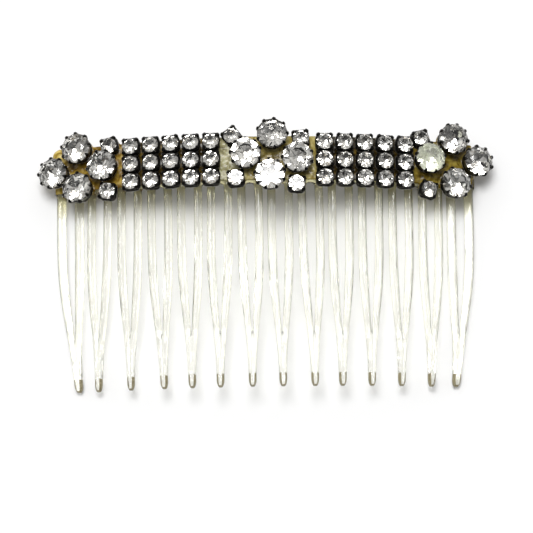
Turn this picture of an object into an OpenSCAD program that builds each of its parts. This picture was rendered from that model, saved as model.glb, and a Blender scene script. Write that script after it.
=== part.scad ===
// Decorative side comb: a clear arched comb with forked teeth, and three clusters
// and two strips of round stones in claw settings, bedded on its spine in cement.
// Millimetres. X runs along the comb, the teeth point to -Y and the stones face +Z.
// The comb lies face up on the ends of its spine and its two outer tips, at Z = 0.
// Places on the ornament are [u, v], along and across the comb as seen from above,
// measured from the middle of the comb and of the strips' middle row.

/* [Spine] */
// Radius of the spine's upper face, which bends about an axis parallel to Y
arch_r = 118; // [112:0.5:126]
// Half of the spine's length, seen from above
spine_half = 45.1; // [44.6:0.1:46]
// Top edge of the spine
spine_top = 5.6; // [5.2:0.1:6]
// Lower edge of the spine, where the teeth start
spine_low = -4.5; // [-5:0.1:-4.2]
// Thickness of the spine
spine_t = 2.6; // [2.4:0.1:3]
// Radius of the spine's upper corners, seen from above
corner_r = 2.6; // [2:0.1:3.2]
// Rounding along the spine's long edges
edge_r = 0.8; // [0.4:0.1:1]

/* [Teeth] */
// Distance between the middle teeth, along the arch
tooth_pitch = 6.46; // [6.4:0.02:6.5]
// How much further apart the outermost teeth are, as a share of the distance
tooth_spread = 0.026; // [0.02:0.002:0.03]
// Length of a middle tooth below the spine
tooth_len = 43.6; // [38:0.2:46]
// How much shorter the outermost teeth are
len_drop = 0.8; // [0:0.1:1.5]
// Half of a tooth's width at the spine
root_half = 2.7; // [2.4:0.02:2.8]
// Half of a tooth's width at its tip
tip_half = 0.85; // [0.7:0.05:1]
// Half of the slot's width at the spine
slot_root_half = 0.9; // [0.6:0.05:1]
// Where the slot ends and the two limbs join, as a share of the length
fork_at = 0.75; // [0.6:0.01:0.85]
// Thickness of a limb at the spine
root_t = 2.2; // [1.9:0.1:2.2]
// Thickness of a tooth at its tip
tip_t = 1.5; // [1.2:0.1:1.8]
// How far the two outermost tips curve in
outer_bend = 1.2; // [0:0.1:2]
// Width of the two outermost teeth, as a share of the others'
outer_width = 1.14; // [1:0.01:1.16]

/* [Large stones] */
// Radius of a large stone
large_r = 3.15; // [3:0.01:3.2]
// Height of a large stone's girdle above the spine
large_girdle = 3.7; // [3.6:0.05:4]
// Number of claws on a large setting
large_claws = 9; // [6:1:10]

/* [Small stones] */
// Radius of a small stone
small_r = 1.73; // [1.6:0.01:1.75]
// Height of a small stone's girdle above the spine
small_girdle = 2; // [2:0.05:2.2]
// Side of a small setting's square body
small_side = 3.82; // [3.7:0.01:3.85]

/* [Strips] */
// Stones in one row of a strip
strip_n = 5; // [3:1:5]
// Distance between stones along a strip
strip_pitch = 4.3; // [4.2:0.01:4.3]
// Distance between the rows of a strip
row_pitch = 3.9; // [3.9:0.01:4]

/* [Cement] */
// Thickness of the cement between the settings of the clusters
cement_t = 1.1; // [1:0.05:1.3]

/* [Hidden] */
$fn = 32;
gap = 0.02; // clearance between a piece and the seat that holds it

// The arch's axis lies below the surface that the comb lies on.
under_r = arch_r - spine_t;
axis_z = -sqrt(under_r * under_r - spine_half * spine_half);
arch_span = asin(spine_half / under_r) + 3;

// How far each tip has bent to +X, from the first tooth to the last.
TIP_BENDS = [outer_bend, -1.2, -0.5, 0.4, 0, -0.4, 0, 0.2, 0.5, 0, -0.2, -0.2, 0, -outer_bend];
tooth_n = len(TIP_BENDS);
last_k = (tooth_n - 1) / 2; // teeth are numbered from the middle, in steps of 1

// The teeth start a little below the spine's upper face and bend down, until the
// two outermost tips touch the surface.
outer_angle = tooth_angle(last_k);
root_sink = 0.2;
outer_edge = outer_bend - tip_half * outer_width;
tip_under_r = (-axis_z - outer_edge * sin(outer_angle)) / cos(outer_angle);
tip_sink = arch_r - tip_t - tip_under_r;
root_inset = 1.2; // how far a tooth reaches into the spine
outline_steps = 12;
profile_steps = 8;
taper_from = 0.36; // shares of the length over which a tooth narrows
taper_to = 0.96;
slot_from = 0.3;

// A stone's proportions, as shares of its radius.
table_share = 0.56;
crown_share = 0.34;
pavilion_share = 0.82;
girdle_t = 0.1;
seat_r = arch_r + small_girdle;

// A large setting is a cone with claws on its rim.
large_base_r = 2.1;
large_rim_r = 2.98;
large_rim_drop = 0.6;
large_claw_r = 0.27;
large_claw_len = 1.15;
large_claw_at = 3.1;

// A small setting is a square basket with a base ring, a waist and a rim.
small_base = 0.35;
small_ring_t = 0.45;
small_waist_t = 0.55;
small_waist_in = 0.3;
small_corner_r = 2.3;
small_claw_r = 0.36;
small_claw_at = 1.93;
claw_rise = 0.3;

// The origin is the middle of the box, seen from above: halfway between the two
// outermost stones, and between the tips and the top of the highest setting.
middle_u = 0.2;
top_stone_v = 5.2;
middle_v = (spine_low - tooth_len + top_stone_v + large_claw_at + large_claw_r) / 2;

// Cluster stones: [name, u, v, turn, large].
CLUSTERS = [
    ["left_top", -39.7, 4.4, 10, true],
    ["left_outer", -44.7, -0.5, 18, true],
    ["left_inner", -34.2, 0, 30, true],
    ["left_bottom", -39.5, -4.4, 4, true],
    ["left_upper_small", -33.2, 4.7, 12, false],
    ["left_lower_small", -33.6, -5.3, -8, false],
    ["centre_left", -3.9, 0.7, 12, true],
    ["centre_top", 1.7, 4.9, 2, true],
    ["centre_right", 6.9, -0.3, 22, true],
    ["centre_bottom", 1.1, -4, 14, true],
    ["centre_upper_left_small", -6.9, 5.1, 38, false],
    ["centre_upper_right_small", 7.8, 4.4, 6, false],
    ["centre_lower_left_small", -6.1, -4.2, 4, false],
    ["centre_lower_right_small", 6.8, -5.6, -4, false],
    ["right_inner", 34.9, 0.6, 8, true],
    ["right_top", 40, top_stone_v, 36, true],
    ["right_outer", 45.2, 0.8, 16, true],
    ["right_bottom", 40.3, -4.5, 25, true],
    ["right_upper_small", 33.6, 5.3, 18, false],
    ["right_lower_small", 35, -5.9, -14, false]
];

// Strips: [name, u of the middle, shift in v]. Rows: [name, v].
STRIPS = [["left", -19.95, 0.2], ["right", 21.45, -0.15]];
ROWS = [["top", row_pitch], ["middle", 0], ["bottom", -row_pitch]];

// Cement beds: [name, u of the left end, u of the right end, thickness]. The
// strips' settings stand on theirs, and the clusters' are sunk in theirs.
bed_reach = 9; // more than a bed reaches up or down from the middle row
socket_h = 2; // more than the cement is thick
BEDS = [
    ["left", -44.9, -30.9, cement_t],
    ["strip_left", -30.8, -9.1, small_base],
    ["centre", -9, 10.4, cement_t],
    ["strip_right", 10.5, 31.9, small_base],
    ["right", 32, 44.9, cement_t]
];

function clamped(x) = min(1, max(0, x));

// The tooth numbered k from the middle: its place on the arch and its length.
function tooth_angle(k) =
    k * tooth_pitch * (1 + tooth_spread * pow(k / last_k, 2)) / arch_r * 180 / PI;
function len_at(k) = tooth_len - len_drop * pow(k / last_k, 2);

// A tooth's outline: half width, half slot width and sideways bend at a share s of
// its length, and the place of that share along a tooth of length l. A tooth's width
// w is a share of the usual one.
function taper(s) = (1 + cos(180 * clamped((s - taper_from) / (taper_to - taper_from)))) / 2;
function tooth_half(s, w) = w * (tip_half + (root_half - tip_half) * taper(s));
function slot_half(s, w) =
    w * slot_root_half * (1 - pow(clamped((s - slot_from) / (fork_at - slot_from)), 1.3));
function bend_at(s, bend) = bend * s * s;
function along(s, l) = spine_low - s * l;
function side_at(s, l, bend, x) = [bend_at(s, bend) + x, along(s, l)];
function sink_at(s) = root_sink + (tip_sink - root_sink) * s * s;
function limb_t(s) = root_t + (tip_t - root_t) * s;

// Moves children from [u, v, height above the spine] to their place on the arch.
module on_arch(u, v, h = 0, turn = 0)
    translate([-middle_u, v - middle_v, axis_z])
    rotate([0, asin(u / seat_r), 0])
    translate([0, 0, arch_r + h])
    rotate([0, 0, turn])
    children();

// Turns a profile of [radius, v] about the arch's axis.
module arched()
    translate([-middle_u, -middle_v, axis_z])
    rotate([-90, 0, 0])
    rotate([0, 0, -90 - arch_span])
    rotate_extrude(angle = 2 * arch_span, $fn = 180)
    children();

// Extrudes a plan outline through the whole height of the comb.
module through_plan()
    translate([-middle_u, -middle_v, -1])
    linear_extrude(30)
    children();

module spine_profile() {
    translate([under_r, spine_low + edge_r])
        square([spine_t, spine_top - spine_low - 2 * edge_r]);
    translate([under_r + edge_r, spine_low])
        square([spine_t - 2 * edge_r, spine_top - spine_low]);
    for (r = [under_r + edge_r, arch_r - edge_r], v = [spine_low + edge_r, spine_top - edge_r])
        translate([r, v]) circle(edge_r);
}

module spine_plan() {
    translate([-spine_half, spine_low - 1])
        square([2 * spine_half, spine_top - corner_r - spine_low + 1]);
    translate([corner_r - spine_half, spine_low])
        square([2 * (spine_half - corner_r), spine_top - spine_low]);
    for (side = [-1, 1])
        translate([side * (spine_half - corner_r), spine_top - corner_r]) circle(corner_r);
}

module spine()
    intersection() {
        arched() spine_profile();
        through_plan() spine_plan();
    }

// The tip is half a circle, as wide as the end of the tooth.
module tooth_plan(l, bend, w) {
    steps = [for (i = [0:outline_steps]) i / outline_steps];
    back = [for (i = [outline_steps:-1:0]) i / outline_steps];
    round_at = 1 - tip_half / l;
    difference() {
        polygon(concat(
            [[w * root_half, spine_low + root_inset]],
            [for (s = round_at * steps) side_at(s, l, bend, tooth_half(s, w))],
            [for (a = [22.5:22.5:157.5])
                side_at(round_at, l, bend, w * tip_half * cos(a)) - [0, tip_half * sin(a)]],
            [for (s = round_at * back) side_at(s, l, bend, -tooth_half(s, w))],
            [[-w * root_half, spine_low + root_inset]]
        ));
        polygon(concat(
            [for (s = fork_at * steps) side_at(s, l, bend, slot_half(s, w))],
            [for (s = fork_at * back) side_at(s, l, bend, -slot_half(s, w))]
        ));
    }
}

module tooth_profile(l) {
    steps = [0:1 / profile_steps:1];
    back = [1:-1 / profile_steps:0];
    polygon(concat(
        [[spine_low + root_inset, -root_sink]],
        [for (s = steps) [along(s, l), -sink_at(s)]],
        [for (s = back) [along(s, l), -sink_at(s) - limb_t(s)]],
        [[spine_low + root_inset, -root_sink - root_t]]
    ));
}

// The outline seen from above and the one seen from the side, cut from each other.
module tooth(l, bend, w) {
    room = 12; // more than a tooth's width and its depth
    translate([0, 0, arch_r])
        intersection() {
            translate([0, 0, 1 - room]) linear_extrude(room) tooth_plan(l, bend, w);
            translate([-room / 2, 0, 0]) rotate([90, 0, 90]) linear_extrude(room) tooth_profile(l);
        }
}

module comb_body()
    color([0.93, 0.93, 0.86, 0.6])
    union() {
        spine();
        for (i = [0:tooth_n - 1]) {
            k = i - last_k;
            translate([-middle_u, -middle_v, axis_z])
                rotate([0, tooth_angle(k), 0])
                tooth(len_at(k), TIP_BENDS[i], abs(k) == last_k ? outer_width : 1);
        }
    }

// The room that a stone of radius r takes, about its girdle's lower edge.
module stone_room(r)
    rotate_extrude()
    polygon([
        [0, -pavilion_share * r - gap], [0.12 * r, -pavilion_share * r - gap],
        [r + gap, -gap], [r + gap, girdle_t + gap],
        [table_share * r + gap, girdle_t + crown_share * r + gap], [r, girdle_t + 2 * r],
        [0, girdle_t + 2 * r]
    ]);

// A brilliant: an eight-sided table, sixteen sides at the girdle, a pointed back.
module stone(r) {
    table_r = table_share * r;
    table_z = girdle_t + crown_share * r;
    table = [for (i = [0:7]) [table_r * cos(45 * i), table_r * sin(45 * i), table_z]];
    upper = [for (i = [0:15]) [r * cos(22.5 * i), r * sin(22.5 * i), girdle_t]];
    lower = [for (p = upper) [p[0], p[1], 0]];
    color([0.88, 0.9, 0.92])
        polyhedron(
            concat(table, upper, lower, [[0, 0, -pavilion_share * r]]),
            concat(
                [[for (i = [7:-1:0]) i]],
                [for (i = [0:7]) [i, (i + 1) % 8, 8 + 2 * i + 1]],
                [for (i = [0:7]) [i, 8 + 2 * i + 1, 8 + 2 * i]],
                [for (i = [0:7]) [(i + 1) % 8, 8 + (2 * i + 2) % 16, 8 + 2 * i + 1]],
                [for (i = [0:15]) [8 + i, 8 + (i + 1) % 16, 24 + (i + 1) % 16, 24 + i]],
                [for (i = [0:15]) [24 + i, 24 + (i + 1) % 16, 40]]
            )
        );
}

// Everything below is about the lower edge of the stone's girdle.
module large_body()
    translate([0, 0, -pavilion_share * large_r - gap])
        cylinder(h = pavilion_share * large_r - large_rim_drop, r1 = large_base_r, r2 = large_rim_r);

module large_setting()
    color([0.16, 0.15, 0.14])
    difference() {
        union() {
            large_body();
            for (i = [0:large_claws - 1])
                rotate([0, 0, 360 / large_claws * i])
                translate([large_claw_at, 0, -large_rim_drop - 0.3]) {
                    cylinder(h = large_claw_len, r = large_claw_r);
                    translate([-0.1, 0, large_claw_len]) sphere(large_claw_r + 0.06);
                }
        }
        stone_room(large_r);
    }

module cushion(side, z, h)
    translate([0, 0, z])
    intersection() {
        translate([-side / 2, -side / 2, 0]) cube([side, side, h]);
        cylinder(h = h, r = small_corner_r - (small_side - side) / 2);
    }

module small_setting() {
    low = small_base - small_girdle;
    waist = low + small_ring_t;
    rim = waist + small_waist_t;
    color([0.16, 0.15, 0.14])
        difference() {
            union() {
                cushion(small_side, low, small_ring_t);
                cushion(small_side - small_waist_in, waist, small_waist_t);
                cushion(small_side - 0.04, rim, -rim);
                for (a = [45:90:315])
                    rotate([0, 0, a])
                    translate([small_claw_at, 0, rim]) {
                        cylinder(h = claw_rise - rim, r = small_claw_r);
                        translate([-0.08, 0, claw_rise - rim]) sphere(small_claw_r + 0.04);
                    }
            }
            stone_room(small_r);
        }
}

module cluster_setting(c)
    on_arch(c[1], c[2], c[4] ? large_girdle : small_girdle, c[3])
    if (c[4]) large_setting(); else small_setting();

module cluster_stone(c)
    on_arch(c[1], c[2], c[4] ? large_girdle : small_girdle, c[3])
    stone(c[4] ? large_r : small_r);

module strip_row(strip, row)
    for (i = [0:strip_n - 1])
        on_arch(strip[1] + (i - (strip_n - 1) / 2) * strip_pitch, row[1] + strip[2], small_girdle)
        children();

// A bed covers the spine between its ends, and reaches under stones that overhang.
module bed_plan(bed) {
    low = spine_low + 0.1;
    small_reach = 1.6;
    translate([bed[1], low]) square([bed[2] - bed[1], spine_top - 0.3 - low]);
    for (c = CLUSTERS)
        if (c[1] > bed[1] && c[1] < bed[2])
            translate([c[1], c[2]]) circle(c[4] ? large_base_r + 0.25 : small_reach);
}

// The room that the clusters' settings take in the cement.
module sockets() {
    for (c = CLUSTERS)
        if (c[4])
            on_arch(c[1], c[2], large_girdle, c[3]) large_socket();
        else
            on_arch(c[1], c[2], small_girdle, c[3]) small_socket();
}

module large_socket()
    translate([0, 0, -pavilion_share * large_r - 2 * gap])
        cylinder(h = socket_h, r1 = large_base_r + gap, r2 = large_rim_r);

module small_socket()
    cushion(small_side + 2 * gap, small_base - small_girdle - gap, socket_h);

module cement(bed)
    color([0.62, 0.47, 0.16])
    difference() {
        intersection() {
            arched() translate([arch_r, -bed_reach]) square([bed[3], 2 * bed_reach]);
            through_plan() bed_plan(bed);
        }
        sockets();
    }

comb_body();
for (bed = BEDS)
    cement(bed);
for (strip = STRIPS)
    for (row = ROWS) {
        strip_row(strip, row) small_setting();
        strip_row(strip, row) stone(small_r);
    }
for (c = CLUSTERS) {
    cluster_setting(c);
    cluster_stone(c);
}
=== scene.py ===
"""Looks of the decorative hair comb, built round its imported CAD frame.

Shapes are worked out in millimetres, on the arch that the frame gives, and put in
the scene in metres.
"""
import math
import random

import bpy
from mathutils import Matrix, Vector, noise


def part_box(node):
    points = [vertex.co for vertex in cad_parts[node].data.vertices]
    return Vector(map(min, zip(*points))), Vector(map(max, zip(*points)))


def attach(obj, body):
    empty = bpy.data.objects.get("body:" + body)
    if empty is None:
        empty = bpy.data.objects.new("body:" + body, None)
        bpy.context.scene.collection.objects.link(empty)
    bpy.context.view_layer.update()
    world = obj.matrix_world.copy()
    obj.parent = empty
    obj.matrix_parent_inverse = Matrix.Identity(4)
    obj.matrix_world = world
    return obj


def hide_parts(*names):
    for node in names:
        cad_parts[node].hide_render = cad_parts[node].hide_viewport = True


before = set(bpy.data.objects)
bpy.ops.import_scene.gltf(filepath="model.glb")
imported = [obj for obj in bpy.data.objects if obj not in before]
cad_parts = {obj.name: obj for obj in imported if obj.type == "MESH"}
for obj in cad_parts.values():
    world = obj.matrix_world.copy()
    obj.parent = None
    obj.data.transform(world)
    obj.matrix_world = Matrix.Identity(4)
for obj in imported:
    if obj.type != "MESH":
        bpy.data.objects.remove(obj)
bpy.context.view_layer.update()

MM = 0.001

# The arch, from the CAD comb: its radius is the design's, its place is the frame's.
ARCH_R = 118.0
SPINE_LOW = -4.5
SPINE_TOP = 5.6
comb_low, comb_high = (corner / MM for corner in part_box("comb_body"))
AXIS_X = (comb_low.x + comb_high.x) / 2
AXIS_Z = comb_high.z - ARCH_R
V_SHIFT = comb_high.y - SPINE_TOP

# Stones, as the design has them: radius, and girdle to culet as a share of it.
LARGE_R = 3.15
SMALL_R = 1.73
PAVILION = 0.82

# How far each cluster setting is turned on its seat, in degrees.
TURN = {
    "left_top": 10, "left_outer": 18, "left_inner": 30, "left_bottom": 4,
    "left_upper_small": 12, "left_lower_small": -8,
    "centre_left": 12, "centre_top": 2, "centre_right": 22, "centre_bottom": 14,
    "centre_upper_left_small": 38, "centre_upper_right_small": 6,
    "centre_lower_left_small": 4, "centre_lower_right_small": -4,
    "right_inner": 8, "right_top": 36, "right_outer": 16, "right_bottom": 25,
    "right_upper_small": 18, "right_lower_small": -14,
}


def on_arch(a, v, w=0.0):
    """The point a along the arch, v up the comb and w above the spine, in mm."""
    angle = a / ARCH_R
    return Vector((
        AXIS_X + (ARCH_R + w) * math.sin(angle),
        v + V_SHIFT,
        AXIS_Z + (ARCH_R + w) * math.cos(angle),
    ))


def clamp(x, low=0.0, high=1.0):
    return max(low, min(high, x))


def mix(a, b, t):
    """a where t is 0 and b where it is 1."""
    return a + (b - a) * t


# ---------------------------------------------------------------- mesh helpers


class Shape:
    """Vertices in mm, faces, and a material index and a smooth flag for each face."""

    def __init__(self):
        self.verts = []
        self.faces = []
        self.mats = []
        self.smooth = []

    def add(self, verts, faces, mat=0, smooth=True, place=None):
        """Adds faces, moved by place; mat is one material index, or one for each face."""
        first = len(self.verts)
        for vert in verts:
            vert = Vector(vert)
            self.verts.append(place @ vert if place else vert)
        for index, face in enumerate(faces):
            self.faces.append([first + i for i in face])
            self.mats.append(mat[index] if isinstance(mat, list) else mat)
            self.smooth.append(smooth)

    def to_object(self, name, materials):
        mesh = bpy.data.meshes.new(name)
        mesh.from_pydata(self.verts, [], self.faces)
        mesh.polygons.foreach_set("material_index", self.mats)
        mesh.polygons.foreach_set("use_smooth", self.smooth)
        for material in materials:
            mesh.materials.append(material)
        mesh.update()
        obj = bpy.data.objects.new(name, mesh)
        bpy.context.scene.collection.objects.link(obj)
        return obj


def apply_modifiers(obj):
    """Gives an object the mesh that its modifiers make, in their place."""
    bpy.context.view_layer.update()
    graph = bpy.context.evaluated_depsgraph_get()
    mesh = bpy.data.meshes.new_from_object(obj.evaluated_get(graph))
    obj.modifiers.clear()
    obj.data = mesh


def finish_piece(obj, node):
    """Brings a piece from mm to metres and ties it to the frame."""
    obj.data.transform(Matrix.Scale(MM, 4))
    obj.data.update()
    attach(obj, "root")
    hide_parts(node)


def rings(loops, closed_start=False, closed_end=False):
    """Faces between loops of equal length; the loops turn anticlockwise about +z."""
    count = len(loops[0])
    verts = [vert for loop in loops for vert in loop]
    faces = []
    for row in range(len(loops) - 1):
        for i in range(count):
            j = (i + 1) % count
            faces.append((row * count + i, row * count + j,
                          (row + 1) * count + j, (row + 1) * count + i))
    if closed_start:
        faces.append(tuple(range(count - 1, -1, -1)))
    if closed_end:
        last = (len(loops) - 1) * count
        faces.append(tuple(range(last, last + count)))
    return verts, faces


def tube(path, radii, sides, width):
    """A round-ended tube along a path in the XZ plane, width times as wide as it is thick."""
    loops = []
    side = Vector((0, 1, 0))
    for index, (point, radius) in enumerate(zip(path, radii)):
        ahead = path[min(index + 1, len(path) - 1)]
        behind = path[max(index - 1, 0)]
        along = (ahead - behind).normalized()
        out = side.cross(along).normalized()
        loops.append([
            point + radius * (math.cos(t) * out + math.sin(t) * side * width)
            for t in (2 * math.pi * k / sides for k in range(sides))
        ])
    # The round end: two rings past the path, at these shares of the last radius.
    end = (path[-1] - path[-2]).normalized()
    centre = path[-1]
    for share in (0.5, 0.85):
        scale = math.sqrt(1 - share * share)
        loops.append([
            centre + end * radii[-1] * share + (vert - centre) * scale
            for vert in loops[len(path) - 1]
        ])
    return rings(loops, closed_start=True, closed_end=True)


# ------------------------------------------------------------------- materials


def new_material(name, values):
    """A Principled material with its own socket values."""
    material = bpy.data.materials.new(name)
    material.use_nodes = True
    shader = material.node_tree.nodes["Principled BSDF"]
    for socket, value in values.items():
        shader.inputs[socket].default_value = value
    return material, material.node_tree, shader


def noise_node(tree, size_mm, detail=3.0, roughness=0.55, distortion=0.0, length=1.0):
    """3-D noise in object space with features of about size_mm, length times that along Y."""
    place = tree.nodes.new("ShaderNodeTexCoord")
    texture = tree.nodes.new("ShaderNodeTexNoise")
    squeeze = tree.nodes.new("ShaderNodeVectorMath")
    squeeze.operation = "MULTIPLY"
    squeeze.inputs[1].default_value = (1.0, 1 / length, 1.0)
    texture.inputs["Scale"].default_value = 1 / (size_mm * MM)
    texture.inputs["Detail"].default_value = detail
    texture.inputs["Roughness"].default_value = roughness
    texture.inputs["Distortion"].default_value = distortion
    tree.links.new(place.outputs["Object"], squeeze.inputs[0])
    tree.links.new(squeeze.outputs["Vector"], texture.inputs["Vector"])
    return texture.outputs["Fac"]


def ramp_node(tree, factor, stops):
    """The colour at factor; stops are (position, colour)."""
    ramp = tree.nodes.new("ShaderNodeValToRGB")
    elements = ramp.color_ramp.elements
    while len(elements) < len(stops):
        elements.new(0.5)
    for element, (position, colour) in zip(elements, stops):
        element.position = position
        element.color = (*colour, 1.0)
    tree.links.new(factor, ramp.inputs["Fac"])
    return ramp.outputs["Color"]


def range_node(tree, factor, low, high, from_low=0.3, from_high=0.7):
    """low where factor is from_low, high where it is from_high, clamped outside."""
    spread = tree.nodes.new("ShaderNodeMapRange")
    spread.inputs["From Min"].default_value = from_low
    spread.inputs["From Max"].default_value = from_high
    spread.inputs["To Min"].default_value = low
    spread.inputs["To Max"].default_value = high
    tree.links.new(factor, spread.inputs["Value"])
    return spread.outputs["Result"]


def math_node(tree, operation, first, second):
    node = tree.nodes.new("ShaderNodeMath")
    node.operation = operation
    tree.links.new(first, node.inputs[0])
    tree.links.new(second, node.inputs[1])
    return node.outputs["Value"]


def position_node(tree, axis):
    """Where a point is along one axis of its object, in metres."""
    place = tree.nodes.new("ShaderNodeTexCoord")
    split = tree.nodes.new("ShaderNodeSeparateXYZ")
    tree.links.new(place.outputs["Object"], split.inputs["Vector"])
    return split.outputs[axis]


def bump_node(tree, shader, height, depth_mm, strength=1.0):
    """Relief on a shader, from a height of 0 to 1 that stands for depth_mm."""
    bump = tree.nodes.new("ShaderNodeBump")
    bump.inputs["Strength"].default_value = strength
    bump.inputs["Distance"].default_value = depth_mm * MM
    tree.links.new(height, bump.inputs["Height"])
    tree.links.new(bump.outputs["Normal"], shader.inputs["Normal"])


def edge_shade(tree, stops):
    """A colour from stops: 0 where a surface faces the ray, 1 where it turns away."""
    layer = tree.nodes.new("ShaderNodeLayerWeight")
    layer.inputs["Blend"].default_value = 0.5
    return ramp_node(tree, layer.outputs["Facing"], stops)


def tinted(tree, colour, tint):
    """One colour through the other."""
    blend = tree.nodes.new("ShaderNodeMix")
    blend.data_type = "RGBA"
    blend.blend_type = "MULTIPLY"
    blend.inputs["Factor"].default_value = 1.0
    tree.links.new(colour, blend.inputs["A"])
    tree.links.new(tint, blend.inputs["B"])
    return blend.outputs["Result"]


def pass_light(tree, shader, stops):
    """Lets lamps shine through a clear piece, so that its shadow is a faint tint."""
    path = tree.nodes.new("ShaderNodeLightPath")
    clear = tree.nodes.new("ShaderNodeBsdfTransparent")
    tree.links.new(edge_shade(tree, stops), clear.inputs["Color"])
    blend = tree.nodes.new("ShaderNodeMixShader")
    tree.links.new(path.outputs["Is Shadow Ray"], blend.inputs["Fac"])
    tree.links.new(shader.outputs["BSDF"], blend.inputs[1])
    tree.links.new(clear.outputs["BSDF"], blend.inputs[2])
    surface = tree.nodes["Material Output"].inputs["Surface"]
    tree.links.new(blend.outputs["Shader"], surface)


# Up the comb, where the painted shade below the spine starts and where it is full.
SPINE_SHADE_V = (-10.0, -5.0)


def clear_plastic():
    """Faintly yellow; painted shade darkens its edges and the teeth just below the spine."""
    material, tree, shader = new_material("clear_plastic", {
        "Transmission Weight": 1.0,
        "IOR": 1.46,
        "Roughness": 0.03,
    })
    # Faint yellow of its own where it faces the ray; painted shade, olive to near black, where
    # it turns away, for the darker surroundings that its edges refract.
    tint = edge_shade(tree, [
        (0.25, (0.957, 0.954, 0.905)), (0.5, (0.8, 0.79, 0.69)), (0.75, (0.22, 0.21, 0.14)),
    ])
    # Painted shade: an olive darkening just below the spine, standing in for the ornament's
    # shadow seen through the plastic.
    spine_shade_y = [(v + V_SHIFT) * MM for v in SPINE_SHADE_V]
    near_spine = range_node(tree, position_node(tree, "Y"), 0.0, 1.0, *spine_shade_y)
    spine_shade = ramp_node(tree, near_spine, [(0.0, (1, 1, 1)), (1.0, (0.74, 0.7, 0.44))])
    tree.links.new(tinted(tree, tint, spine_shade), shader.inputs["Base Color"])
    scuffs = noise_node(tree, 0.5, detail=6.0, roughness=0.65)
    scuffed = range_node(tree, scuffs, 0.02, 0.12, from_low=0.5, from_high=0.8)
    tree.links.new(scuffed, shader.inputs["Roughness"])
    flow = noise_node(tree, 0.5, detail=2.0, length=30.0)
    bump_node(tree, shader, flow, depth_mm=0.16)
    pass_light(tree, shader, [
        (0.05, (0.62, 0.62, 0.6)), (0.5, (0.4, 0.4, 0.37)), (0.9, (0.06, 0.06, 0.05)),
    ])
    return material


def tip_mark():
    """The brown edge round each tooth's tip."""
    material, tree, shader = new_material("tip_mark", {
        "Roughness": 0.35,
        "Coat Weight": 0.6,
        "Coat Roughness": 0.1,
    })
    patches = noise_node(tree, 0.35, detail=4.0)
    colour = ramp_node(tree, patches, [
        (0.3, (0.16, 0.13, 0.06)), (0.52, (0.25, 0.215, 0.115)), (0.72, (0.46, 0.42, 0.28)),
    ])
    tree.links.new(colour, shader.inputs["Base Color"])
    bump_node(tree, shader, patches, depth_mm=0.03, strength=0.6)
    return material


def stone_glass(name, tint, roughness, lit_through=False):
    """Clear glass; lit_through lets lamps reach the stone's pale back."""
    material, tree, shader = new_material(name, {
        "Base Color": (*tint, 1.0),
        "Transmission Weight": 1.0,
        "IOR": 1.54,
        "Roughness": roughness,
    })
    scratches = noise_node(tree, 0.25, detail=5.0, roughness=0.7)
    scratched = range_node(
        tree, scratches, roughness, roughness + 0.03, from_low=0.55, from_high=0.85)
    tree.links.new(scratched, shader.inputs["Roughness"])
    if lit_through:
        pass_light(tree, shader, [(0.1, (0.92, 0.92, 0.9)), (0.8, (0.6, 0.6, 0.56))])
    return material


def foil(name, stops, rough_low, rough_high, metallic=1.0):
    """A stone's back; its patches go from dark and rough to bright and smooth."""
    material, tree, shader = new_material(name, {"Metallic": metallic})
    patches = noise_node(tree, 0.9, detail=4.0, distortion=0.6)
    tree.links.new(ramp_node(tree, patches, stops), shader.inputs["Base Color"])
    tree.links.new(
        range_node(tree, patches, rough_high, rough_low), shader.inputs["Roughness"])
    return material


def dark_metal():
    """Oxidised nearly black, rubbed grey on its edges."""
    material, tree, shader = new_material("oxidised_metal", {
        "Metallic": 0.85,
        "Specular IOR Level": 0.3,
    })
    geometry = tree.nodes.new("ShaderNodeNewGeometry")
    edges = range_node(
        tree, geometry.outputs["Pointiness"], 0.0, 0.7, from_low=0.58, from_high=0.72)
    grain = noise_node(tree, 0.3, detail=5.0, roughness=0.65)
    rubbed = range_node(tree, grain, 0.0, 1.0, from_low=0.38, from_high=0.6)
    worn = math_node(tree, "MULTIPLY", edges, rubbed)
    base = ramp_node(tree, grain, [
        (0.3, (0.006, 0.006, 0.005)), (0.55, (0.016, 0.015, 0.013)), (0.75, (0.05, 0.046, 0.04)),
    ])
    blend = tree.nodes.new("ShaderNodeMix")
    blend.data_type = "RGBA"
    tree.links.new(worn, blend.inputs["Factor"])
    tree.links.new(base, blend.inputs["A"])
    blend.inputs["B"].default_value = (0.5, 0.48, 0.44, 1.0)
    tree.links.new(blend.outputs["Result"], shader.inputs["Base Color"])
    tree.links.new(range_node(tree, grain, 0.28, 0.5), shader.inputs["Roughness"])
    bump_node(tree, shader, grain, depth_mm=0.05, strength=0.5)
    return material


def rubbed_metal():
    """The settings' rims and base edges, where the black is rubbed off."""
    material, tree, shader = new_material("rubbed_metal", {"Metallic": 0.95})
    grain = noise_node(tree, 0.45, detail=5.0, roughness=0.6)
    colour = ramp_node(tree, grain, [
        (0.36, (0.03, 0.028, 0.025)), (0.5, (0.3, 0.285, 0.26)), (0.62, (0.62, 0.6, 0.56)),
    ])
    tree.links.new(colour, shader.inputs["Base Color"])
    tree.links.new(range_node(tree, grain, 0.45, 0.22), shader.inputs["Roughness"])
    bump_node(tree, shader, grain, depth_mm=0.04, strength=0.4)
    return material


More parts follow.
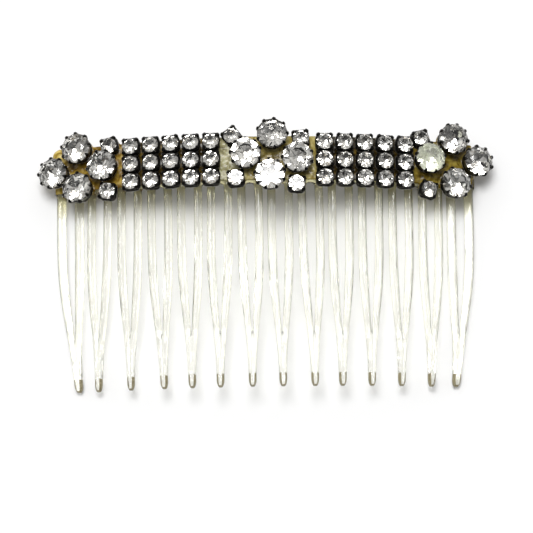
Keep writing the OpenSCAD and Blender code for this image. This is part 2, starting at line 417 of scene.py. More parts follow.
def aged_cement(name, stops, far_stops=None, change_x=(0.0, 0.0)):
    """Glossy cement; along X it turns from stops to far_stops between the change_x, in mm."""
    material, tree, shader = new_material(name, {
        "Coat Weight": 0.2,
        "Coat Roughness": 0.08,
        "Specular IOR Level": 0.25,
        "Subsurface Weight": 0.2,
        "Subsurface Scale": 0.6 * MM,
        "Subsurface Radius": (1.0, 0.7, 0.25),
    })
    clouds = noise_node(tree, 1.6, detail=5.0, roughness=0.6, distortion=0.8)
    colour = ramp_node(tree, clouds, stops)
    if far_stops:
        change = [x * MM for x in change_x]
        share = range_node(tree, position_node(tree, "X"), 0.0, 1.0, *change)
        blend = tree.nodes.new("ShaderNodeMix")
        blend.data_type = "RGBA"
        tree.links.new(share, blend.inputs["Factor"])
        tree.links.new(colour, blend.inputs["A"])
        tree.links.new(ramp_node(tree, clouds, far_stops), blend.inputs["B"])
        colour = blend.outputs["Result"]
    tree.links.new(colour, shader.inputs["Base Color"])
    tree.links.new(range_node(tree, clouds, 0.2, 0.42), shader.inputs["Roughness"])
    lumps = noise_node(tree, 0.6, detail=4.0)
    bump_node(tree, shader, lumps, depth_mm=0.12, strength=0.7)
    return material


CLEAR = clear_plastic()
TIP = tip_mark()
GLASS = stone_glass("stone_glass", (0.985, 0.978, 0.945), 0.0)
CLOUDY_GLASS = stone_glass("clouded_glass", (0.985, 0.987, 0.955), 0.02, lit_through=True)
FOIL = foil("silver_foil", [
    (0.28, (0.5, 0.42, 0.32)), (0.4, (0.93, 0.92, 0.9)), (0.7, (0.97, 0.97, 0.97)),
], 0.02, 0.08)
CLOUDY_FOIL = foil("clouded_foil", [
    (0.3, (0.66, 0.67, 0.56)), (0.5, (0.88, 0.9, 0.8)), (0.7, (0.98, 0.98, 0.94)),
], 0.05, 0.16, metallic=0.75)
METAL = dark_metal()
RUBBED = rubbed_metal()

# Colours of the cement in its dark, middle and light patches.
# Painted shade: the amber is darkened all through, its dark patches to near black, standing in
# for the shade between the left cluster's settings, over the cement's own amber.
AMBER_AND_SHADE_STOPS = [
    (0.3, (0.05, 0.024, 0.002)), (0.5, (0.23, 0.135, 0.012)), (0.7, (0.5, 0.35, 0.06)),
]
YELLOW_STOPS = [
    (0.3, (0.18, 0.11, 0.01)), (0.5, (0.42, 0.29, 0.04)), (0.7, (0.75, 0.6, 0.2)),
]
OLIVE_STOPS = [
    (0.3, (0.035, 0.022, 0.002)), (0.5, (0.17, 0.115, 0.01)), (0.7, (0.42, 0.32, 0.05)),
]
MIDDLE_STOPS = [
    (0.3, (0.1, 0.07, 0.01)), (0.5, (0.36, 0.28, 0.07)), (0.7, (0.62, 0.54, 0.22)),
]
PALE_STOPS = [
    (0.3, (0.14, 0.12, 0.05)), (0.5, (0.4, 0.37, 0.2)), (0.7, (0.74, 0.74, 0.56)),
]
# Painted shade: the strips' cement is near black, standing in for the shade between the baskets;
# only its light patches show the cement's own brown.
BROWN_AND_SHADE_STOPS = [
    (0.3, (0.006, 0.004, 0.001)), (0.5, (0.035, 0.021, 0.003)), (0.7, (0.2, 0.13, 0.02)),
]

AMBER_AND_SHADE = aged_cement("amber_cement", AMBER_AND_SHADE_STOPS, YELLOW_STOPS, (-41.5, -43.5))
OLIVE = aged_cement("olive_cement", OLIVE_STOPS)
PALE = aged_cement("pale_cement", MIDDLE_STOPS, PALE_STOPS, (-3.5, -6.5))
BROWN_AND_SHADE = aged_cement("brown_cement", BROWN_AND_SHADE_STOPS)

# ------------------------------------------------------------------- comb body

# The spine, as the design has it: thickness, half length along the arch, round corners.
SPINE_T = 2.6
SPINE_END = 46.4
CORNER_R = 2.6

# The teeth, as the design has them: each tip's sideways bend, the pitch along the arch and
# its growth towards the ends, length and its loss towards the ends, half widths, thickness,
# and how far a tooth's face lies under the arch.
TIP_BENDS = [1.2, -1.2, -0.5, 0.4, 0, -0.4, 0, 0.2, 0.5, 0, -0.2, -0.2, 0, -1.2]
TOOTH_N = len(TIP_BENDS)
LAST_K = (TOOTH_N - 1) / 2
TOOTH_PITCH = 6.46
TOOTH_SPREAD = 0.026
TOOTH_LEN = 43.6
LEN_DROP = 0.8
ROOT_HALF = 2.7
TIP_HALF = 0.85
OUTER_WIDTH = 1.14
SLOT_HALF = 0.9
ROOT_T = 2.2
TIP_T = 1.5
ROOT_SINK = 0.2
TIP_SINK = 2.87

# Shares of a tooth's length: where the tooth starts to narrow and over how much it does so,
# where the slot starts to narrow, where the limbs have met, over how much their groove
# fades, where the dark mark starts, and where the tip turns round and over how much.
NARROWS_AT = 0.36
NARROWS_OVER = 0.6
SLOT_NARROWS_AT = 0.3
FORK_AT = 0.75
GROOVE_OVER = 0.2
MARK_AT = 0.941
ROUND_AT = 0.972
ROUND_OVER = 0.031

# The slot narrows slowly at first, as this power of the way to where the limbs meet.
SLOT_CURVE = 1.3

# Shares that the tip's rounding takes off a tooth's half width and thickness, and where the
# ridges lie on the tip, as a share of its half width.
TIP_NARROWING = 0.58
TIP_THINNING = 0.4
TIP_RIDGE = 0.42

# Shares of a limb's thickness that its edges, ridges and the groove rise to from its middle.
EDGE = 0.28
RIDGE = 0.61
GROOVE = 0.22
NO_GROOVE = 0.5

# The cage is rounded by subdivision, which draws it in, so it stands a little outside the
# design; at the spine's rim it is lowered, for a rounded edge, and ridges are creased.
CAGE_SWELL = 0.02
RIM_DROP = 0.42
TOOTH_SWELL = 1.03
RIDGE_CREASE = 0.75

# How far a tooth's tip and its middle stray sideways at random, in mm.
BEND_STRAY = 0.1
WAVE_STRAY = 0.12

# From this place along the arch, the spine's columns close up to follow its round corners.
CLOSE_UP_FROM = 40.0

# Rows of a tooth's cage as shares of its length: the slot's rows, then the merged ones;
# and rows of the spine's cage above its lower edge, up the comb in mm.
SLOT_ROWS = [0.03, 0.08, 0.14, 0.21, 0.28, 0.35, 0.42, 0.49, 0.56, 0.62, 0.67, 0.715]
END_ROWS = [0.75, 0.79, 0.83, 0.875, 0.92, MARK_AT, 0.957, 0.972, 0.986, 0.996, 1.003]
SPINE_ROWS = [-3.95, -2.3, 0.3, 2.9, 4.3, 5.2, 5.66]


def tooth_at(k):
    """The place along the arch of the tooth numbered k from the middle."""
    return k * TOOTH_PITCH * (1 + TOOTH_SPREAD * (k / LAST_K) ** 2)


def width_of(k):
    """The outermost teeth are wider than the others."""
    return OUTER_WIDTH if abs(k) == LAST_K else 1.0


def tip_rounding(s):
    """0 up to where the tip turns round, growing to 1 at its end."""
    return clamp((s - ROUND_AT) / ROUND_OVER) ** 2


def tooth_half(s):
    """Half width of a tooth at a share s of its length."""
    narrowing = (1 + math.cos(math.pi * clamp((s - NARROWS_AT) / NARROWS_OVER))) / 2
    half = mix(TIP_HALF, ROOT_HALF, narrowing)
    return half * (TOOTH_SWELL - TIP_NARROWING * tip_rounding(s))


def slot_half(s):
    """Half width of a tooth's slot at a share s of its length."""
    share = clamp((s - SLOT_NARROWS_AT) / (FORK_AT - SLOT_NARROWS_AT))
    return SLOT_HALF * (1 - share ** SLOT_CURVE)


def limb_levels(s):
    """Middle level and thickness of a tooth at a share s of its length."""
    thick = mix(ROOT_T, TIP_T, s)
    middle = -mix(ROOT_SINK, TIP_SINK, s * s) - thick / 2
    return middle, thick * (1 - TIP_THINNING * tip_rounding(s))


class Cage:
    """A sheet of quads with an upper and an under side, walled along its border.

    Marked quads have the second material; ridges are pairs of places that stay sharp.
    """

    def __init__(self):
        self.places = {}
        self.quads = []
        self.marked = set()
        self.ridges = []

    def put(self, key, a, v, upper, under):
        """A place of the sheet, with the levels of its two sides."""
        self.places[key] = (a, v, upper, under)

    def quad(self, keys, marked=False):
        if marked:
            self.marked.add(len(self.quads))
        self.quads.append(keys)

    def shape(self):
        index = {key: i for i, key in enumerate(self.places)}
        shape = Shape()
        verts = []
        for a, v, upper, under in self.places.values():
            verts += [on_arch(a, v, upper), on_arch(a, v, under)]
        faces = []
        mats = []
        edges = {}
        for number, keys in enumerate(self.quads):
            ids = [index[key] for key in keys]
            mark = int(number in self.marked)
            faces += [[2 * i for i in ids], [2 * i + 1 for i in reversed(ids)]]
            mats += [mark, 0]
            for start, end in zip(ids, ids[1:] + ids[:1]):
                edges[(start, end)] = mark
        # An edge that no neighbour has the other way round is on the border.
        for (start, end), mark in edges.items():
            if (end, start) not in edges:
                faces.append([2 * start + 1, 2 * end + 1, 2 * end, 2 * start])
                mats.append(mark)
        shape.add(verts, faces, mats)
        return shape

    def crease(self, mesh, sharpness):
        """Keeps the ridges sharp when the mesh is rounded."""
        index = {key: i for i, key in enumerate(self.places)}
        sharp = set()
        for start, end in self.ridges:
            sharp.add(frozenset((2 * index[start], 2 * index[end])))
            sharp.add(frozenset((2 * index[start] + 1, 2 * index[end] + 1)))
        creases = mesh.attributes.new("crease_edge", "FLOAT", "EDGE")
        for edge in mesh.edges:
            if frozenset(edge.vertices) in sharp:
                creases.data[edge.index].value = sharpness


def spine_end(v):
    """Half length of the spine along the arch at height v, with rounded corners."""
    rise = clamp((v - SPINE_TOP + CORNER_R) / CORNER_R)
    return SPINE_END - CORNER_R * (1 - math.sqrt(1 - rise * rise))


def build_comb():
    """The spine and its forked teeth, with rounded and ridged limbs, as one mesh.

    A tooth has six columns across: side, ridge and slot edge, and the same mirrored.
    """
    rng = random.Random(7)
    cage = Cage()
    columns = [("end", -1)]
    columns += [(i, c) for i in range(TOOTH_N) for c in range(6)]
    columns += [("end", 1)]
    slot_share = SLOT_HALF / ROOT_HALF
    shares = [-1, -(1 + slot_share) / 2, -slot_share]
    shares += [-share for share in reversed(shares)]

    def column_at(column):
        kind, number = column
        if kind == "end":
            return number * SPINE_END
        k = kind - LAST_K
        return tooth_at(k) + ROOT_HALF * width_of(k) * shares[number]

    # The spine: row 0 is its lower edge, which the teeth grow from.
    for row, v in enumerate([SPINE_LOW] + SPINE_ROWS):
        for column in columns:
            a = column_at(column)
            if abs(a) > CLOSE_UP_FROM:
                squeeze = (spine_end(v) - CLOSE_UP_FROM) / (SPINE_END - CLOSE_UP_FROM)
                a = math.copysign(CLOSE_UP_FROM + (abs(a) - CLOSE_UP_FROM) * squeeze, a)
            at_rim = row in (0, len(SPINE_ROWS)) or column[0] == "end"
            rise = CAGE_SWELL - RIM_DROP if at_rim else CAGE_SWELL
            cage.put((column, row), a, v, rise, -SPINE_T - rise)
    for row in range(len(SPINE_ROWS)):
        for left, right in zip(columns, columns[1:]):
            cage.quad([(left, row), (right, row), (right, row + 1), (left, row + 1)])

    for i in range(TOOTH_N):
        k = i - LAST_K
        centre = tooth_at(k)
        length = TOOTH_LEN - LEN_DROP * (k / LAST_K) ** 2
        bend = TIP_BENDS[i] + rng.uniform(-BEND_STRAY, BEND_STRAY)
        wave = rng.uniform(-WAVE_STRAY, WAVE_STRAY)
        above = [((i, c), 0) for c in range(6)]
        for s in SLOT_ROWS + END_ROWS:
            middle, thick = limb_levels(s)
            half = tooth_half(s) * width_of(k)
            slot = slot_half(s) * width_of(k)
            shift = centre + bend * s * s + wave * math.sin(math.pi * s)
            v = SPINE_LOW - s * length
            ridge = (half + slot) / 2 if s < MARK_AT else TIP_RIDGE * half
            offsets = [-half, -ridge, -slot, slot, ridge, half]
            rises = [EDGE, RIDGE, EDGE, EDGE, RIDGE, EDGE]
            if s < FORK_AT:
                keys = [("tooth", i, s, c) for c in range(6)]
            else:
                # The two slot edges have met, and are one column.
                keys = [("tooth", i, s, c if c < 3 else c - 1) for c in range(6)]
                offsets[2] = offsets[3] = 0.0
                groove = mix(GROOVE, NO_GROOVE, clamp((s - FORK_AT) / GROOVE_OVER))
                rises[2] = rises[3] = groove
            for key, offset, rise in zip(keys, offsets, rises):
                cage.put(key, shift + offset, v, middle + rise * thick, middle - rise * thick)
            # Column 2 is the slot. The mark is on the tip's sides and its very end.
            for c in (0, 1, 3, 4):
                marked = s > MARK_AT and (c in (0, 4) or s > 1)
                cage.quad([keys[c], keys[c + 1], above[c + 1], above[c]], marked)
            if s < FORK_AT:
                cage.ridges += [(above[c], keys[c]) for c in (1, 4)]
            above = keys
    comb = cage.shape().to_object("comb_body_detail", [CLEAR, TIP])
    cage.crease(comb.data, RIDGE_CREASE)
    rounding = comb.modifiers.new("rounding", "SUBSURF")
    rounding.levels = 2
    rounding.render_levels = 2
    apply_modifiers(comb)
    finish_piece(comb, "comb_body")


# ---------------------------------------------------------------------- stones

# Points of a CAD stone this close to its lowest one, in mm, are its culet.
CULET_REACH = 0.02

# The brilliant cut: thickness of the girdle in mm, fall of the back's facets, and as shares
# of the stone's radius the radii of the table, star and back's point, and the crown's height.
GIRDLE_T = 0.1
BACK_SLOPE = 0.84
TABLE_SHARE = 0.6
STAR_SHARE = 0.78
POINT_SHARE = 0.1
CROWN_SHARE = 0.34

# What stones stray by at random: their tilt and turn in degrees, their points in mm.
TILT_STRAY = 2.5
SPIN_STRAY = 12
POINT_STRAY = 0.02


def stone_seats(node, radius):
    """The seats of a CAD node's stones: (matrix, a, v), girdle's lower edge at z = 0."""
    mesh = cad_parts[node].data
    points = [vert.co / MM for vert in mesh.vertices]
    reach = [math.hypot(p.x - AXIS_X, p.z - AXIS_Z) for p in points]
    lowest = min(reach)
    culets = {}
    for point, distance in zip(points, reach):
        if distance < lowest + CULET_REACH:
            angle = math.atan2(point.x - AXIS_X, point.z - AXIS_Z)
            culets[(round(angle, 3), round(point.y, 2))] = (angle, point.y)
    seats = []
    height = lowest + PAVILION * radius
    for key in sorted(culets):
        angle, y = culets[key]
        spot = Vector((
            AXIS_X + height * math.sin(angle), y, AXIS_Z + height * math.cos(angle)))
        matrix = Matrix.Translation(spot) @ Matrix.Rotation(angle, 4, "Y")
        seats.append((matrix, angle * ARCH_R, y - V_SHIFT))
    return seats


def polar(radius, degrees, z):
    """The point at a radius and an angle about z."""
    t = math.radians(degrees)
    return Vector((radius * math.cos(t), radius * math.sin(t), z))


def brilliant(radius, rng):
    """A brilliant cut: crown and girdle in glass, an eight-sided back in foil.

    Table, star and point have 8 corners; the girdle's two edges have 16, and the odd ones
    of the lower edge, between two facets of the back, lie lower.
    """
    mid_facet = math.cos(math.pi / 8)
    table_r = TABLE_SHARE * radius
    table_z = GIRDLE_T + CROWN_SHARE * radius
    slope = (table_z - GIRDLE_T) / (radius - table_r)
    star_r = STAR_SHARE * radius
    star_z = table_z - (star_r * mid_facet - table_r) * slope
    point_r = POINT_SHARE * radius
    point_z = -BACK_SLOPE * (radius - point_r * mid_facet)
    corner_z = -BACK_SLOPE * radius * (1 - mid_facet)
    table = [polar(table_r, 45 * i, table_z) for i in range(8)]
    star = [polar(star_r, 45 * i + 22.5, star_z) for i in range(8)]
    upper = [polar(radius, 22.5 * i, GIRDLE_T) for i in range(16)]
    lower = [polar(radius, 22.5 * i, corner_z if i % 2 else 0.0) for i in range(16)]
    point = [
        polar(point_r, 45 * i + 22.5, point_z + rng.uniform(-POINT_STRAY, POINT_STRAY))
        for i in range(8)
    ]
    verts = table + star + upper + lower + point
    star_0, upper_0, lower_0, point_0 = 8, 16, 32, 48
    glass = [tuple(range(8))]
    silver = [tuple(point_0 + i for i in reversed(range(8)))]
    for i in range(8):
        j = (i + 1) % 8
        middle, after = 2 * i + 1, (2 * i + 2) % 16
        glass += [
            (i, star_0 + i, j),
            (j, star_0 + i, upper_0 + after, star_0 + j),
            (star_0 + i, upper_0 + 2 * i, upper_0 + middle),
            (star_0 + i, upper_0 + middle, upper_0 + after),
        ]
        silver.append((
            point_0 + i, point_0 + j, lower_0 + (2 * i + 3) % 16,
            lower_0 + after, lower_0 + middle))
    for i in range(16):
        j = (i + 1) % 16
        glass.append((upper_0 + i, lower_0 + i, lower_0 + j, upper_0 + j))
    return verts, glass + silver, [0] * len(glass) + [1] * len(silver)


# How far stones are tipped towards the teeth, in degrees. The others aren't tipped. These
# are picked so that each stone is about as bright as in the photograph.
LEAN = {
    "stone_left_top": 3, "stone_left_bottom": -6, "stone_left_lower_small": 5,
    "stone_centre_left": 9, "stone_centre_top": -7, "stone_centre_right": 9,
    "stone_centre_bottom": 4, "stone_centre_upper_left_small": -6,
    "stone_centre_upper_right_small": -6, "stone_centre_lower_right_small": 5,
    "stone_right_top": 9,
    "stones_left_top_row": -5, "stones_left_middle_row": -5, "stones_left_bottom_row": -3,
}


def build_stones(node, radius, turn, materials):
    """A node's stones, each leaning and turned a little its own way."""
    rng = random.Random(node)
    shape = Shape()
    for matrix, _, _ in stone_seats(node, radius):
        tip = LEAN.get(node, 0.0) + rng.uniform(-TILT_STRAY, TILT_STRAY)
        roll = rng.uniform(-TILT_STRAY, TILT_STRAY)
        angle = turn + rng.uniform(-SPIN_STRAY, SPIN_STRAY)
        lean = Matrix.Rotation(math.radians(tip), 4, "X")
        lean @= Matrix.Rotation(math.radians(roll), 4, "Y")
        spin = Matrix.Rotation(math.radians(angle), 4, "Z")
        verts, faces, mats = brilliant(radius, rng)
        shape.add(verts, faces, mats, smooth=False, place=matrix @ lean @ spin)
    finish_piece(shape.to_object(f"{node}_detail", materials), node)


# -------------------------------------------------------------------- settings

# A large cup's outline: outside, rim and inside. Each row is a loop's radius, its level
# from the stone's girdle, and how far it waves in radius and in level, once for each claw.
LARGE_OUTSIDE = [
    (2.3, -2.6, 0, 0), (2.76, -2.6, 0, 0), (2.84, -2.5, 0, 0), (2.8, -2.36, 0, 0),
    (2.66, -2.28, 0, 0), (2.74, -1.9, 0, 0), (2.95, -1.4, 0, 0), (3.1, -0.85, 0.03, 0),
    (3.18, -0.4, 0.05, 0.04),
]
LARGE_RIM = [
    (3.24, -0.18, 0.06, 0.1), (3.27, -0.06, 0.06, 0.12), (3.24, 0.02, 0.05, 0.12),
    (3.19, 0.02, 0.04, 0.12), (3.17, -0.06, 0.03, 0.1),
]
LARGE_INSIDE = [(3.1, -0.35, 0, 0), (2.6, -1.0, 0, 0), (1.2, -2.3, 0, 0), (0.4, -2.42, 0, 0)]

# A small basket's outline: each loop's half width, level, and rise towards the corners.
SMALL_OUTLINE = [
    (1.5, -1.66, 0), (1.82, -1.66, 0), (1.9, -1.58, 0), (1.9, -1.46, 0),
    (1.82, -1.38, 0), (1.66, -1.28, 0), (1.64, -0.9, 0), (1.72, -0.7, 0.1),
    (1.78, -0.5, 0.22), (1.81, -0.36, 0.28), (1.79, -0.26, 0.3), (1.74, -0.24, 0.3),
    (1.72, -0.3, 0.24), (1.66, -0.55, 0.1), (1.3, -1.15, 0), (0.4, -1.48, 0),
]

# The rows of faces between these loops and the next ones are rubbed: the large cup's base
# edge and rim, and the small basket's base edge.
LARGE_RIM_ROWS = range(len(LARGE_OUTSIDE) - 1, len(LARGE_OUTSIDE) - 1 + len(LARGE_RIM))
LARGE_RUBBED = [1, 2, *LARGE_RIM_ROWS]
SMALL_RUBBED = [1, 2, 3]

# A claw, from foot to end: each bend's place outwards, its level and the claw's radius
# there; how much wider than thick a claw is; and what it strays by at random: its angle
# either way, in degrees, and the least and most that its end is moved outwards, in mm.
LARGE_CLAWS = 9
LARGE_CLAW = [
    (3.05, -1.1, 0.2), (3.2, -0.6, 0.25), (3.32, -0.15, 0.26),
    (3.32, 0.18, 0.24), (3.17, 0.4, 0.19), (2.96, 0.52, 0.12),
]
LARGE_CLAW_WIDTH = 1.6
LARGE_CLAW_STRAY = (3, -0.08, 0.08)
SMALL_CLAWS = 4
SMALL_CLAW = [
    (1.86, -0.9, 0.3), (2.02, -0.4, 0.34), (2.06, -0.05, 0.35), (1.96, 0.2, 0.3),
    (1.72, 0.36, 0.18),
]
SMALL_CLAW_WIDTH = 1.4
SMALL_CLAW_STRAY = (4, -0.1, 0.08)
CLAW_SIDES = 10

# How far a setting's turn strays at random, in degrees.
TURN_STRAY = 2


def wavy_loop(radius, z, wave, lift, count=8 * LARGE_CLAWS):
    """A loop about z; wave changes its radius and lift its level once for each claw."""
    loop = []
    for k in range(count):
        t = 2 * math.pi * k / count
        swell = math.cos(LARGE_CLAWS * t)
        reach = radius + wave * swell
        loop.append(Vector((reach * math.cos(t), reach * math.sin(t), z + lift * swell)))
    return loop


def square_loop(half, z, lift, power=4.3, count=32):
    """A loop like a square with round corners; lift raises it towards the corners."""
    loop = []
    for k in range(count):
        t = 2 * math.pi * k / count
        c, s = math.cos(t), math.sin(t)
        reach = half / (abs(c) ** power + abs(s) ** power) ** (1 / power)
        corner = (1 - math.cos(4 * t)) / 2
        loop.append(Vector((reach * c, reach * s, z + lift * corner)))
    return loop


def add_cup(shape, place, loops, rubbed_rows):
    """A cup of dark metal with an open foot; its rubbed rows have the second material."""
    verts, faces = rings(loops, closed_end=True)
    mats = []
    for row in range(len(loops) - 1):
        mats += [int(row in rubbed_rows)] * len(loops[0])
    mats.append(0)
    shape.add(verts, faces, mats, place=place)


def add_claws(shape, place, rng, count, first, bends, width, stray):
    """A ring of bent claws about z, each a little uneven; the first is at first degrees."""
    angle_stray, least_reach, most_reach = stray
    radii = [radius for _, _, radius in bends]
    for k in range(count):
        angle = first + 360 / count * k + rng.uniform(-angle_stray, angle_stray)
        path = [Vector((out, 0, level)) for out, level, _ in bends]
        path[-1].x += rng.uniform(least_reach, most_reach)
        verts, faces = tube(path, radii, CLAW_SIDES, width)
        around = Matrix.Rotation(math.radians(angle), 4, "Z")
        shape.add(verts, faces, place=place @ around)


def large_setting(shape, place, rng):
    """A conical cup with a base ring, a scalloped rim and nine bent claws."""
    loops = [wavy_loop(*row) for row in LARGE_OUTSIDE + LARGE_RIM + LARGE_INSIDE]
    add_cup(shape, place, loops, LARGE_RUBBED)
    add_claws(
        shape, place, rng, LARGE_CLAWS, 0, LARGE_CLAW, LARGE_CLAW_WIDTH, LARGE_CLAW_STRAY)


def small_setting(shape, place, rng):
    """A square basket: base plate, waist, rim between four corner claws."""
    add_cup(shape, place, [square_loop(*row) for row in SMALL_OUTLINE], SMALL_RUBBED)
    add_claws(
        shape, place, rng, SMALL_CLAWS, 45, SMALL_CLAW, SMALL_CLAW_WIDTH, SMALL_CLAW_STRAY)


def build_setting(node, stones, radius, turn):
    """The settings of a node, one under each stone of the stones' node."""
    rng = random.Random(node)
    shape = Shape()
    for matrix, _, _ in stone_seats(stones, radius):
        angle = turn + rng.uniform(-TURN_STRAY, TURN_STRAY)
        place = matrix @ Matrix.Rotation(math.radians(angle), 4, "Z")
        if radius == LARGE_R:
            large_setting(shape, place, rng)
        else:
            small_setting(shape, place, rng)
    finish_piece(shape.to_object(f"{node}_detail", [METAL, RUBBED]), node)


# ---------------------------------------------------------------------- cement


def ellipsoid(centre, radii, sides=20, levels=10):
    """An ellipsoid with flat ends."""
    loops = []
    for level in range(1, levels):
        t = math.pi * level / levels
        loops.append([
            Vector((
                centre[0] + radii[0] * math.sin(t) * math.cos(p),
                centre[1] + radii[1] * math.sin(t) * math.sin(p),
                centre[2] - radii[2] * math.cos(t),
            ))
            for p in (2 * math.pi * k / sides for k in range(sides))
        ])
    return rings(loops, closed_start=True, closed_end=True)


def slab(a0, a1, v0, v1, w0, w1):
    """A box between two places a along the arch, two heights v and two levels w."""
    corners = [(a0, v0), (a1, v0), (a1, v1), (a0, v1)]
    return rings([[Vector((a, v, w)) for a, v in corners] for w in (w0, w1)], True, True)


# Limits of the cement, in mm: how far its bed keeps in from the spine's lower and upper
# edges, how deep it starts in the spine, how far a mound may hang below the spine, and how
# far inside a mound's edge its setting's floor begins.
BED_INSET_LOW = 0.15
BED_INSET_TOP = 0.35
BED_DEPTH = 0.05
OVERHANG = 0.6
FLOOR_INSET = 0.45

# The cement's surface, in mm: the grid it is joined on, and how high and how often it
# rises, once it is this far above the spine.
CEMENT_GRID = 0.2
SWELL_HEIGHT = 0.1
SWELLS_PER_MM = 1.3
SWELL_FROM = 0.3


def build_cement(node, ends, thick, feet, lumps_per_mm, material):
    """Cement over the spine. feet are (a, v, radius, mound's height, setting's floor)."""
    rng = random.Random(node)
    shape = Shape()
    low, top = SPINE_LOW + BED_INSET_LOW, SPINE_TOP - BED_INSET_TOP
    shape.add(*slab(*ends, low, top, -BED_DEPTH, thick))
    for a, v, radius, height, _ in feet:
        shape.add(*ellipsoid((a, v, 0.1), (radius, radius, height)))
    for _ in range(int((ends[1] - ends[0]) * lumps_per_mm)):
        a = rng.uniform(ends[0] + 1, ends[1] - 1)
        v = rng.uniform(SPINE_LOW + 1, SPINE_TOP - 1.2)
        size = rng.uniform(0.5, 1.1)
        shape.add(*ellipsoid((a, v, thick - 0.1), (size * 1.3, size, size * 0.5), 12, 6))
    obj = shape.to_object(f"{node}_detail", [material])
    joined = obj.modifiers.new("joined", "REMESH")
    joined.mode = "VOXEL"
    joined.voxel_size = CEMENT_GRID
    soft = obj.modifiers.new("soft", "SMOOTH")
    soft.factor = 0.6
    soft.iterations = 4
    apply_modifiers(obj)
    for vert in obj.data.vertices:
        a, v, w = vert.co
        # Uneven on top, and flat where it lies on the spine.
        swell = SWELL_HEIGHT * noise.noise(Vector((a, v, w)) * SWELLS_PER_MM)
        w += swell * clamp(w / SWELL_FROM)
        # Within the spine's round upper corners.
        corner = Vector((math.copysign(SPINE_END - CORNER_R, a), SPINE_TOP - CORNER_R))
        out = Vector((a, v)) - corner
        if abs(a) > abs(corner.x) and out.y > 0 and out.length > CORNER_R:
            a, v = corner + out.normalized() * CORNER_R
        v = max(v, SPINE_LOW - OVERHANG)
        # Under the settings' floors, so that nothing stands up inside a cup.
        for foot_a, foot_v, radius, _, foot_floor in feet:
            if math.hypot(a - foot_a, v - foot_v) < radius - FLOOR_INSET:
                w = min(w, foot_floor)
        vert.co = on_arch(a, v, w)
    for polygon in obj.data.polygons:
        polygon.use_smooth = True
    finish_piece(obj, node)


# ------------------------------------------------------------------ the pieces

# The mound of cement round a foot: its radius and height, and the setting's floor.
LARGE_MOUND = (2.75, 1.5, 1.08)
SMALL_MOUND = (2.1, 0.9, 0.33)

# A blob of cement at the spine's far left corner, given as a foot.
CORNER_BLOB = (-44.9, 3.9, 1.9, 1.5, 2.0)

# Under the strips the cement only shows where four baskets meet: there it has a small
# mound, half a pitch from a basket's middle each way. Mounds keep away from the spine's
# edges and from the bed's ends.
STRIP_MOUND = (0.6, 0.7, 2.0)
HALF_PITCH_A = 2.13
HALF_PITCH_V = 1.97
STRIP_MOUND_V = 4.2
STRIP_END_GAP = 0.5

# Each bed's ends along the arch and its cement, the beds' thicknesses, and how many small
# lumps lie on a bed.
CLUSTER_BEDS = {
    "left": ((-45.9, -30.3), AMBER_AND_SHADE),
    "centre": ((-9.6, 11.0), PALE),
    "right": ((31.7, 45.6), OLIVE),
}
STRIP_ENDS = {"left": (-30.6, -9.1), "right": (10.4, 32.3)}
CLUSTER_BED_T = 0.5
STRIP_BED_T = 0.3
CLUSTER_LUMPS_PER_MM = 2.0

# How far the strips' stones are turned on their seats, in degrees.
STRIP_TURN = 22.5

build_comb()

cluster_feet = {"left": [CORNER_BLOB], "centre": [], "right": []}
for name, turn in TURN.items():
    small = name.endswith("_small")
    radius = SMALL_R if small else LARGE_R
    cloudy = name == "right_inner"
    build_setting(f"setting_{name}", f"stone_{name}", radius, turn)
    build_stones(
        f"stone_{name}", radius, turn,
        [CLOUDY_GLASS, CLOUDY_FOIL] if cloudy else [GLASS, FOIL])
    cluster = cluster_feet[name.split("_")[0]]
    for _, a, v in stone_seats(f"stone_{name}", radius):
        cluster.append((a, v, *(SMALL_MOUND if small else LARGE_MOUND)))

strip_seats = {"left": [], "right": []}
for side, seats in strip_seats.items():
    for row in ("top", "middle", "bottom"):
        stones = f"stones_{side}_{row}_row"
        build_setting(f"settings_{side}_{row}_row", stones, SMALL_R, 0)
        build_stones(stones, SMALL_R, STRIP_TURN, [GLASS, FOIL])
        seats += stone_seats(stones, SMALL_R)

for name, (ends, cement) in CLUSTER_BEDS.items():
    feet = cluster_feet[name]
    build_cement(
        f"cement_{name}", ends, CLUSTER_BED_T, feet, CLUSTER_LUMPS_PER_MM, cement)

for side, ends in STRIP_ENDS.items():
    feet = []
    for _, seat_a, seat_v in strip_seats[side]:
        for x, y in ((-1, -1), (-1, 1), (1, -1), (1, 1)):
            a, v = seat_a + HALF_PITCH_A * x, seat_v + HALF_PITCH_V * y
            clear_of_ends = ends[0] + STRIP_END_GAP < a < ends[1] - STRIP_END_GAP
            if clear_of_ends and abs(v) < STRIP_MOUND_V:
                feet.append((a, v, *STRIP_MOUND))
    build_cement(f"cement_strip_{side}", ends, STRIP_BED_T, feet, 0.0, BROWN_AND_SHADE)

# ----------------------------------------------------------- floor, light, camera

FLOOR_HALF = 4.0

# The level direction that the surround is brighter towards, and its panels' scale.
BRIGHT_SIDE = (-0.25, 0.97, 0.0)
PANEL_SCALE = 3.5

# Where the camera looks and from how far, in metres, and its angles in degrees.
TARGET = Vector((-0.0001, -0.0041, 0.014))
DISTANCE = 0.6
ELEVATION = 75
ROLL = -0.9
LENS_MM = 193.9


def link(obj):
    bpy.context.scene.collection.objects.link(obj)
    return obj


def build_floor():
    half = FLOOR_HALF
    mesh = bpy.data.meshes.new("floor")
    corners = [(-half, -half, 0), (half, -half, 0), (half, half, 0), (-half, half, 0)]
    mesh.from_pydata(corners, [], [(0, 1, 2, 3)])
    white, _, _ = new_material("white_floor", {
        "Base Color": (0.9, 0.9, 0.9, 1.0),
        "Roughness": 0.9,
        "Specular IOR Level": 0.1,
    })
    mesh.materials.append(white)
    link(bpy.data.objects.new("floor", mesh))


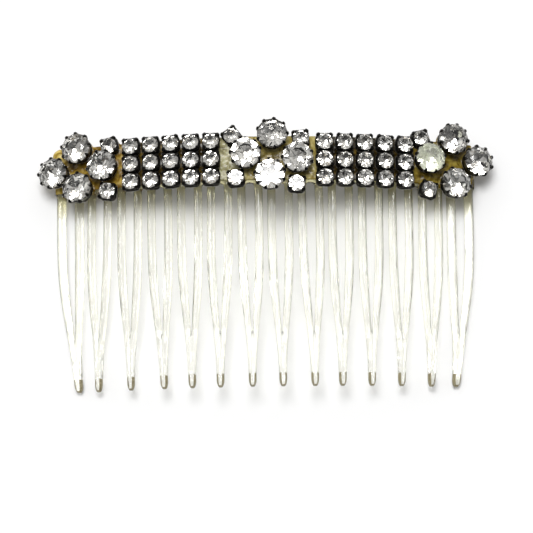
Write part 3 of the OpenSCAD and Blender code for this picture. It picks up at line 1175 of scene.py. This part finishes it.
def softbox(name, azimuth, elevation, distance, size, power):
    """A square lamp that looks at the comb; azimuth 0 is -Y, 90 is +X."""
    lamp = bpy.data.lights.new(name, "AREA")
    lamp.shape = "SQUARE"
    lamp.size = size
    lamp.energy = power
    obj = link(bpy.data.objects.new(name, lamp))
    az, el = math.radians(azimuth), math.radians(elevation)
    away = Vector((
        math.sin(az) * math.cos(el), -math.cos(az) * math.cos(el), math.sin(el)))
    obj.location = away * distance
    obj.rotation_euler = away.to_track_quat("Z", "Y").to_euler()


def build_surround():
    """Brighter behind than in front, in soft panels, and bright along the horizon."""
    world = bpy.data.worlds.new("studio")
    bpy.context.scene.world = world
    world.use_nodes = True
    tree = world.node_tree
    background = tree.nodes["Background"]
    direction = tree.nodes.new("ShaderNodeTexCoord").outputs["Generated"]
    behind = tree.nodes.new("ShaderNodeVectorMath")
    behind.operation = "DOT_PRODUCT"
    behind.inputs[1].default_value = BRIGHT_SIDE
    tree.links.new(direction, behind.inputs[0])
    graded = range_node(
        tree, behind.outputs["Value"], 0.05, 0.68, from_low=-0.7, from_high=0.2)
    panels = tree.nodes.new("ShaderNodeTexNoise")
    panels.inputs["Scale"].default_value = PANEL_SCALE
    panels.inputs["Detail"].default_value = 1.0
    tree.links.new(direction, panels.inputs["Vector"])
    panelled = range_node(
        tree, panels.outputs["Fac"], 0.35, 1.65, from_low=0.35, from_high=0.65)
    above = tree.nodes.new("ShaderNodeSeparateXYZ")
    tree.links.new(direction, above.inputs["Vector"])
    horizon = range_node(
        tree, above.outputs["Z"], 0.95, 0.0, from_low=0.05, from_high=0.2)
    patchy = math_node(tree, "MULTIPLY", graded, panelled)
    tree.links.new(
        math_node(tree, "MAXIMUM", patchy, horizon), background.inputs["Strength"])
    background.inputs["Color"].default_value = (1.0, 1.0, 1.0, 1.0)


def build_camera():
    data = bpy.data.cameras.new("camera")
    data.sensor_width = 36
    data.lens = LENS_MM
    data.clip_start = 0.01
    camera = link(bpy.data.objects.new("camera", data))
    elevation = math.radians(ELEVATION)
    toward = Vector((0, -math.cos(elevation), math.sin(elevation)))
    camera.location = TARGET + toward * DISTANCE
    aim = toward.to_track_quat("Z", "Y").to_matrix().to_4x4()
    roll = Matrix.Rotation(math.radians(ROLL), 4, "Z")
    camera.rotation_euler = (aim @ roll).to_euler()
    bpy.context.scene.camera = camera


build_floor()
softbox("key", azimuth=204, elevation=78.5, distance=2.0, size=0.8, power=28.5)
build_surround()
build_camera()
bpy.context.scene.view_settings.view_transform = "Standard"
